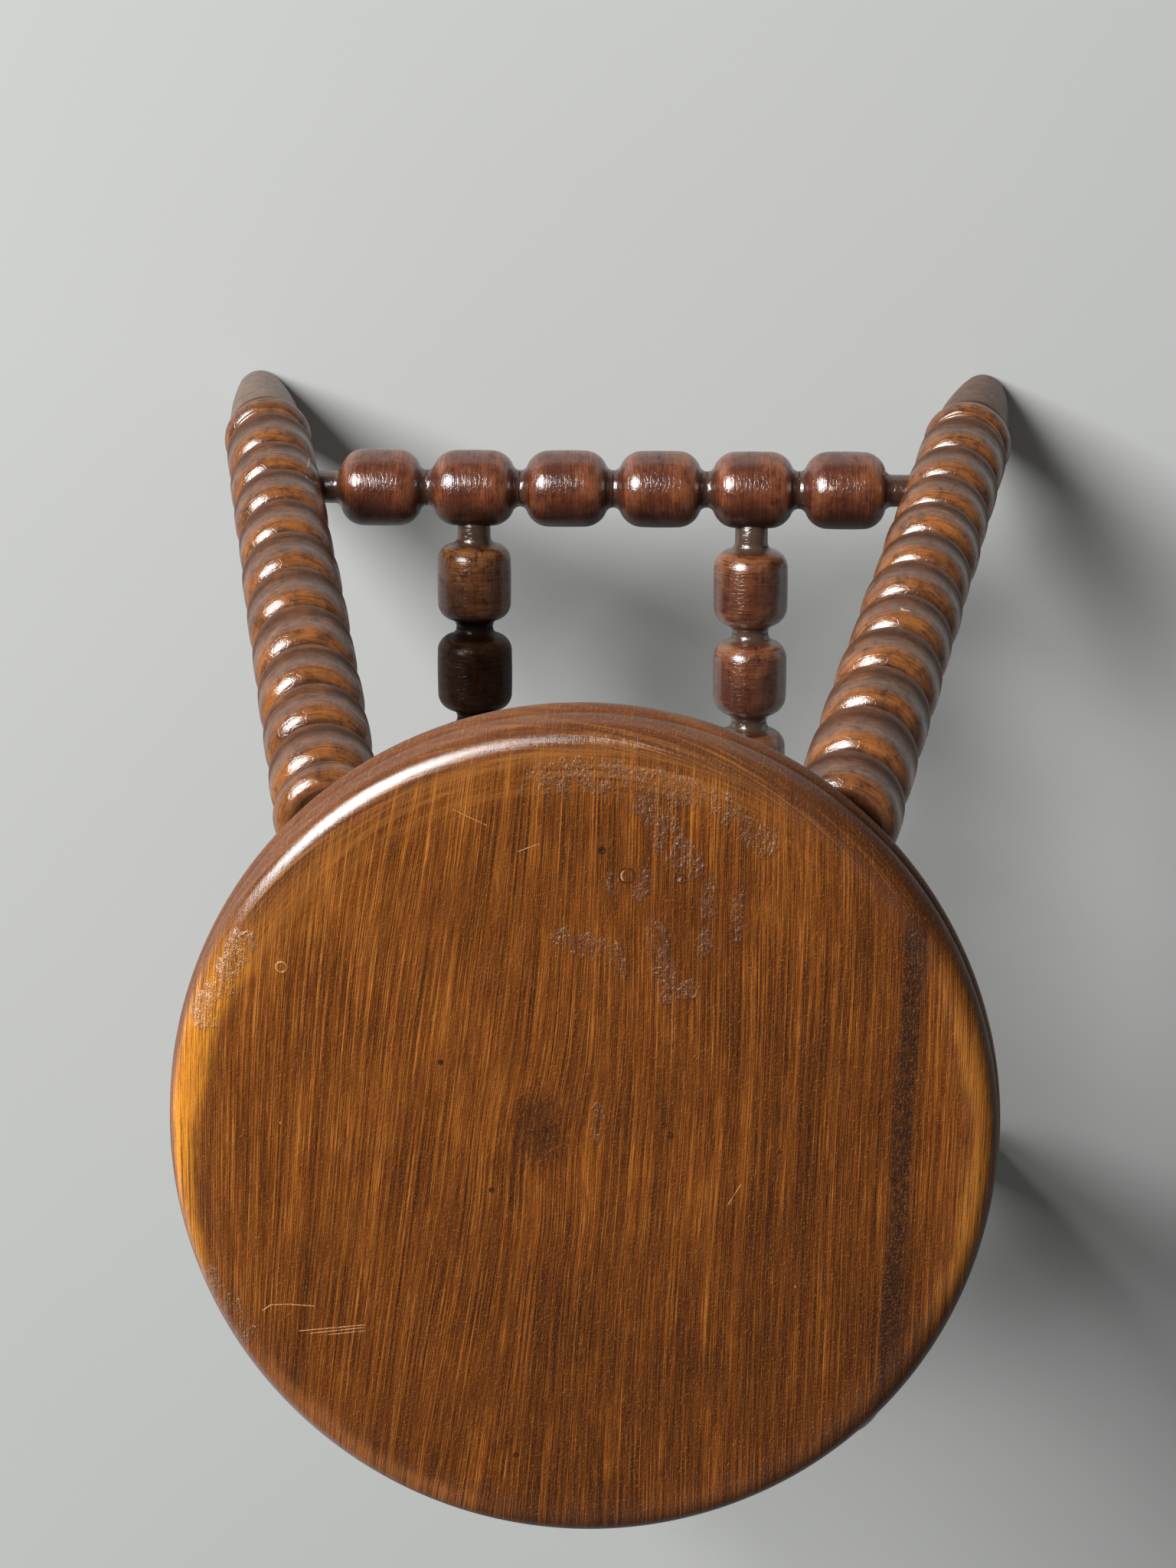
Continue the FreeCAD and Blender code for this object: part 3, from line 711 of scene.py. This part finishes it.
    def crackled_lacquer(self, color):
        """Crackled patches: small blisters with painted light on the side towards the light, painted
            shade on the other side, and painted glints.
        """
        arch = self.both(self.ramp(self.rim, 0.76, 0.84), self.ramp(self.rim, 0.925, 0.885),
                         self.ramp(self.x, -34.0, -8.0), self.ramp(self.x, 68.0, 30.0),
                         self.ramp(self.y, 30.0, 60.0))
        patches = self.most(arch, *self.strokes(CRACKLED))
        broken = self.noise(self.flat, (0.3, 0.16, 0.0), 4.0, 0.7, 0.6)
        self.crackle = self.ramp(self.sums("MULTIPLY_ADD", patches, 0.36, broken), 0.72, 0.94)
        # The same blisters a little to each side give the slope across them, towards the light,
        # which places the painted light and shade
        blisters = []
        for shift in (0.22, -0.22):
            moved = self.node("VectorMath", {0: self.flat, 1: (shift, -shift, 0.0)}, operation="ADD")
            blisters.append(self.noise(moved.outputs[0], (1.0, 0.6, 0.0), 4.0, 0.75, 1.5))
        self.blister = blisters[0]
        slope = self.sums("SUBTRACT", *blisters)
        color = self.over(color, (92, 56, 34), self.crackle, 0.25)
        # Painted light and painted shade on the blisters' two sides, faint all over the seat and strong
        # in the patches
        painted_blister_light = self.both(self.ramp(slope, 0.08, 0.2), self.most(self.crackle, 0.32), 0.9)
        painted_blister_shade = self.both(self.ramp(slope, -0.06, -0.2), self.most(self.crackle, 0.4), 0.8)
        color = self.over(color, (52, 25, 10), painted_blister_shade)
        # The painted glints' colour, warmer outside the patches and paler in them
        pale = self.mix(self.crackle, linear(206, 140, 70), linear(206, 166, 130))
        return self.mix(painted_blister_light, color, pale)

    def small_marks(self, color):
        """Pale nicks and fine specks all over, scratches, and the ring-shaped dent."""
        cells = self.cells(self.scaled(self.flat, (1.0, 0.7, 0.0)), 0.06, "F1")
        color = self.over(color, (206, 178, 140), self.ramp(cells, 0.020, 0.008), 0.8)
        self.specks = self.noise(self.flat, (1.9, 1.5, 0.0), 3.0, 0.8)
        color = self.over(color, (190, 134, 82), self.ramp(self.specks, 0.58, 0.70, 0.0, 0.5))
        color = self.over(color, (58, 28, 12), self.ramp(self.specks, 0.42, 0.30, 0.0, 0.5))
        ring = self.ramp(self.gap(self.away(self.flat, DENT), DENT_R), 0.38, 0.1)
        self.marks = self.most(*self.strokes(SCRATCHES), ring)
        return self.over(color, (216, 160, 98), self.marks,
                         self.ramp(self.patchy, 0.38, 0.56, 0.3, 0.85))

    def relief(self):
        pores = self.noise(self.flow, (4.2, 0.1, 0.0), 3.0)
        return self.weighted(
            (self.line, 0.35), (pores, 0.2), (self.both(self.blister, self.crackle), 2.2),
            (self.dash, 0.3), (self.specks, 0.25), (self.both(self.resin, self.scaly), 1.2),
            (self.marks, -0.7))

    def lacquer(self):
        """The coat's weight: most on the rounded edge, and less on its right side and at the
        outermost rim."""
        coat = self.sums("SUBTRACT", self.ramp(self.rim, 0.86, 0.93, 0.4, 1.0),
                         self.both(self.ramp(self.rim, 0.93, 0.97), self.side, 0.85))
        return self.both(coat, self.ramp(self.rim, 0.972, 0.988, 1.0, 0.3))

    def made(self):
        color = self.grain_streaks()
        for step in (self.upper_edge, self.worn_edge, self.resin_streak, self.knot_and_holes,
                     self.crackled_lacquer, self.small_marks):
            color = step(color)
        rough = self.ramp(self.band, 0.3, 0.7, 0.36, 0.46)
        return self.finish(color, rough, self.relief(), SEAT_RELIEF, self.lacquer(), **{
            "Coat Roughness": 0.07, "Coat IOR": 1.8, "Specular IOR Level": 0.08})


# The four legs

def stray(rng, most):
    return rng.uniform(-most, most)


def leg_outline(seed, waists):
    """From the sole to the end of the tenon, with even waists where no measured ones are given."""
    rng = random.Random(seed)
    if waists is None:
        waists = [FOOT]
        for i in range(1, LEG_BOBBINS):
            waists.append(FOOT + LEG_PITCH * i + stray(rng, LEG_WAIST_STRAY))
    waists = [*waists, LEG_LENGTH - LEG_END_NECK]
    cone = FOOT - RING - BEAD
    cone_r = swell_radius(math.hypot(cone, ANKLE_R - TOE_R), ANKLE_SWELL)
    bead_r = swell_radius(BEAD, BEAD_SWELL)
    ring_r = swell_radius(RING, RING_SWELL)
    rub, rub_rise = TOE_RUB
    toe_edge = (TOE_R, rub_rise)
    points = plain([(0.0, -SOLE_SPARE), (TOE_R - rub, -SOLE_SPARE), toe_edge])
    points += plain(arc(toe_edge, (ANKLE_R, cone), cone_r, 1, TOE_STEPS))
    points += plain(arc((ANKLE_R, cone), (ANKLE_R, cone + BEAD), bead_r, 1, BEAD_STEPS),
                    waist=0.15, worn=0.55)
    points += plain([(RING_R, cone + BEAD)], waist=0.9)
    points += plain(arc((RING_R, cone + BEAD), (RING_R, FOOT), ring_r, 1, RING_STEPS),
                    waist=0.2, worn=0.9)
    points = softened(points, CORNER_ROUNDING)
    necks = [LEG_NECK_R + stray(rng, LEG_NECK_STRAY) for waist in waists]
    half = LEG_PITCH * (1 - LEG_SHARES[0]) / 2
    for i in range(LEG_BOBBINS):
        rim = LEG_R + rng.uniform(*LEG_RIM_STRAY)
        points += bobbin(waists[i], waists[i + 1], rim, necks[i:i + 2], half, LEG_SHARES[1])
    top = LEG_LENGTH + LEG_TENON
    points += plain([(LEG_NECK_R, waists[-1] + TENON_STEP), (LEG_NECK_R, top), (0.0, top)],
                    waist=1.0)
    return points


def cut_level(leg, foot, axis):
    """The toe is cut level at the floor, along the leg's axis (metres)."""
    sole = 0.1 * MM
    for vertex in leg.data.vertices:
        if vertex.co.z < 0 or (vertex.co - foot).dot(axis) < sole:
            vertex.co -= axis * (vertex.co.z / axis.z)
    leg.data.update()


LEG_SIGNS = {"front_left": (-1, 1), "front_right": (1, 1), "back_left": (-1, -1),
             "back_right": (1, -1)}
for number, (corner, (sign_x, sign_y)) in enumerate(LEG_SIGNS.items()):
    foot_at = Vector((sign_x * LEG_FOOT[0], sign_y * LEG_FOOT[1], 0.0))
    top_at = Vector((sign_x * LEG_TOP[0], sign_y * LEG_TOP[1], UNDERSIDE))
    outline = leg_outline(LEG_SEEDS[0] + number, MEASURED_WAISTS.get(corner))
    leg = lathe("turned_leg_" + corner, outline, along(foot_at, top_at), LEG_SEEDS[1] + number)
    cut_level(leg, foot_at * MM, (top_at - foot_at).normalized())
    dress(leg, "leg_" + corner, LEG_WOOD)


# The stretchers

def stretcher_outline(seed, run, pitch, reach, count, rim, neck, tenon, shares, slide):
    """The bobbins from -run to run between two tenons. Slide moves the waists along a little."""
    flat_share, shoulder_share = shares
    rng = random.Random(seed)
    waists = [-run]
    for i in range(1, count):
        waists.append(-run + pitch * i + slide + stray(rng, STRETCHER_WAIST_STRAY))
    waists.append(run + min(slide, 0.0))
    necks = [neck + stray(rng, STRETCHER_NECK_STRAY) for i in range(count - 1)]
    necks = [tenon, *necks, tenon]
    points = plain([(0.0, -reach), (tenon, -reach), (tenon, -run - TENON_STEP)], waist=0.9)
    half = pitch * (1 - flat_share) / 2
    for i in range(count):
        size = rim + rng.uniform(*STRETCHER_RIM_STRAY)
        points += bobbin(waists[i], waists[i + 1], size, necks[i:i + 2], half, shoulder_share)
    points += plain([(tenon, waists[-1] + TENON_STEP), (tenon, reach), (0.0, reach)], waist=0.9)
    return points


SIDE = {"run": SIDE_RUN, "pitch": SIDE_PITCH, "reach": SIDE_REACH, "count": SIDE_BOBBINS,
        "rim": SIDE_R, "neck": SIDE_NECK_R, "tenon": SIDE_TENON_R, "shares": SIDE_SHARES,
        "slide": 0.4}
CROSS = {"run": CROSS_RUN, "pitch": CROSS_PITCH, "reach": CROSS_REACH, "count": CROSS_BOBBINS,
         "rim": CROSS_R, "neck": CROSS_NECK_R, "tenon": CROSS_TENON_R}
CROSS_LEFT = {**CROSS, "shares": CROSS_LEFT_SHARES, "slide": 0.0}
CROSS_RIGHT = {**CROSS, "shares": CROSS_RIGHT_SHARES, "slide": -1.5}
for number, (word, sign) in enumerate((("front", 1), ("back", -1))):
    place = along((0.0, sign * JOINT_Y, JOINT_Z), (1.0, sign * JOINT_Y, JOINT_Z))
    outline = stretcher_outline(SIDE_SEEDS[0] + number, **SIDE)
    piece = lathe("turned_side_stretcher_" + word, outline, place, SIDE_SEEDS[1] + number)
    dress(piece, "side_stretcher_" + word, SIDE_WOOD)
for number, (word, sign, sizes, wood) in enumerate((
        ("left", -1, CROSS_LEFT, CROSS_LEFT_WOOD), ("right", 1, CROSS_RIGHT, CROSS_RIGHT_WOOD))):
    place = along((sign * CROSS_X, 0.0, JOINT_Z), (sign * CROSS_X, 1.0, JOINT_Z))
    outline = stretcher_outline(CROSS_SEEDS[0] + number, **sizes)
    piece = lathe("turned_cross_stretcher_" + word, outline, place, CROSS_SEEDS[1] + number)
    dress(piece, "cross_stretcher_" + word, wood)


# The seat

def seat_outline():
    """From the middle of the underside, up the moulded edge and back to the middle on top."""
    swell = 2.4
    bead = 10.5
    quirk = 1.6
    quirk_depth = 3.6
    inset = 1.3
    rounding = 10.0
    edge = SEAT_X - inset
    bead_r = swell_radius(bead, swell)
    points = [(SEAT_X - swell, 0.0)]
    points += arc((SEAT_X - swell, 0.0), (SEAT_X - swell, bead), bead_r, 1, BEAD_STEPS)
    points += [(SEAT_X - quirk_depth, bead), (SEAT_X - quirk_depth, bead + quirk)]
    points += [(edge, bead + quirk), (edge, SEAT_THICK - rounding)]
    points += arc((edge, SEAT_THICK - rounding), (edge - rounding, SEAT_THICK), rounding, 1,
                  EDGE_STEPS)
    points = softened(plain(points), CORNER_ROUNDING)
    under = [(radius, 0.0) for radius in (0.0, 30.0, 60.0, 90.0, 120.0, 134.0, 137.0)]
    top = [(radius, SEAT_THICK) for radius in range(126, 0, -3)] + [(0.0, SEAT_THICK)]
    return plain(under) + points + plain(top)


seat = lathe("turned_seat", seat_outline(), Matrix.Translation((0, 0, UNDERSIDE * MM)), SEAT_SEED,
             sides=SEAT_SIDES, wobble=0.1, stretch=SEAT_Y / SEAT_X)
# Its grain has no random shift, because the marks have their places in it
places = [c for v in seat.data.vertices for c in (v.co.x / MM, v.co.y / MM, v.co.z / MM - UNDERSIDE)]
seat.data.attributes["grain"].data.foreach_set("vector", places)
dress(seat, "seat", SeatPaint("seat_wood").made())


# The pale floor, with half its side in metres
FLOOR = 6
floor_mesh = bpy.data.meshes.new("floor")
floor_corners = [(-FLOOR, -FLOOR, 0), (FLOOR, -FLOOR, 0), (FLOOR, FLOOR, 0), (-FLOOR, FLOOR, 0)]
floor_mesh.from_pydata(floor_corners, [], [(0, 1, 2, 3)])
floor = bpy.data.objects.new("floor", floor_mesh)
bpy.context.scene.collection.objects.link(floor)
floor_paint = Paint("floor")
cloud = floor_paint.noise(floor_paint.node("TexCoord", {}).outputs["Object"], (2.0, 2.0, 2.0), 3.0, 0.5)
floor_color = floor_paint.mix(cloud, linear(190, 192, 190), linear(197, 199, 197))
floor_mesh.materials.append(floor_paint.finish(floor_color, 0.7, cloud, 0.01))

# The camera, above the seat and beyond the front legs, looking down and back: its place in
# metres, its right and up directions, and its focal length in pixels of the photo
CAMERA_AT = (0.038229, 0.401678, 1.551655)
CAMERA_RIGHT = Vector((0.99941, 0.0013, -0.03445))
CAMERA_UP = Vector((-0.00998, 0.9674, -0.25307))
FOCAL_PIXELS = 4432
PHOTO_HEIGHT = 2048
SENSOR = 36.0
camera_data = bpy.data.cameras.new("camera")
camera_data.sensor_fit = "VERTICAL"
camera_data.sensor_height = SENSOR
camera_data.lens = SENSOR * FOCAL_PIXELS / PHOTO_HEIGHT
camera = bpy.data.objects.new("camera", camera_data)
back = CAMERA_RIGHT.cross(CAMERA_UP).normalized()
up = back.cross(CAMERA_RIGHT).normalized()
turn = Matrix((CAMERA_RIGHT, up, back)).transposed().to_4x4()
camera.matrix_world = Matrix.Translation(CAMERA_AT) @ turn
bpy.context.scene.collection.objects.link(camera)
bpy.context.scene.camera = camera

# One large soft light, at the left of the photo, and a faint even light from all round
KEY_AT = Vector((-2.72, 2.12, 3.45))
KEY_AIM = Vector((0, 0, 0.35))
KEY_SIZE = 2.1
KEY_POWER = 315
WORLD_STRENGTH = 0.1
key_data = bpy.data.lights.new("key", "AREA")
key_data.shape = "RECTANGLE"
key_data.size = KEY_SIZE
key_data.size_y = KEY_SIZE
key_data.energy = KEY_POWER
key = bpy.data.objects.new("key", key_data)
key.location = KEY_AT
key.rotation_euler = (KEY_AIM - KEY_AT).to_track_quat("-Z", "Y").to_euler()
bpy.context.scene.collection.objects.link(key)

world = bpy.data.worlds.new("world")
world.use_nodes = True
background = world.node_tree.nodes["Background"]
background.inputs["Color"].default_value = (1, 1, 1, 1)
background.inputs["Strength"].default_value = WORLD_STRENGTH
bpy.context.scene.world = world
bpy.context.scene.view_settings.view_transform = "Standard"
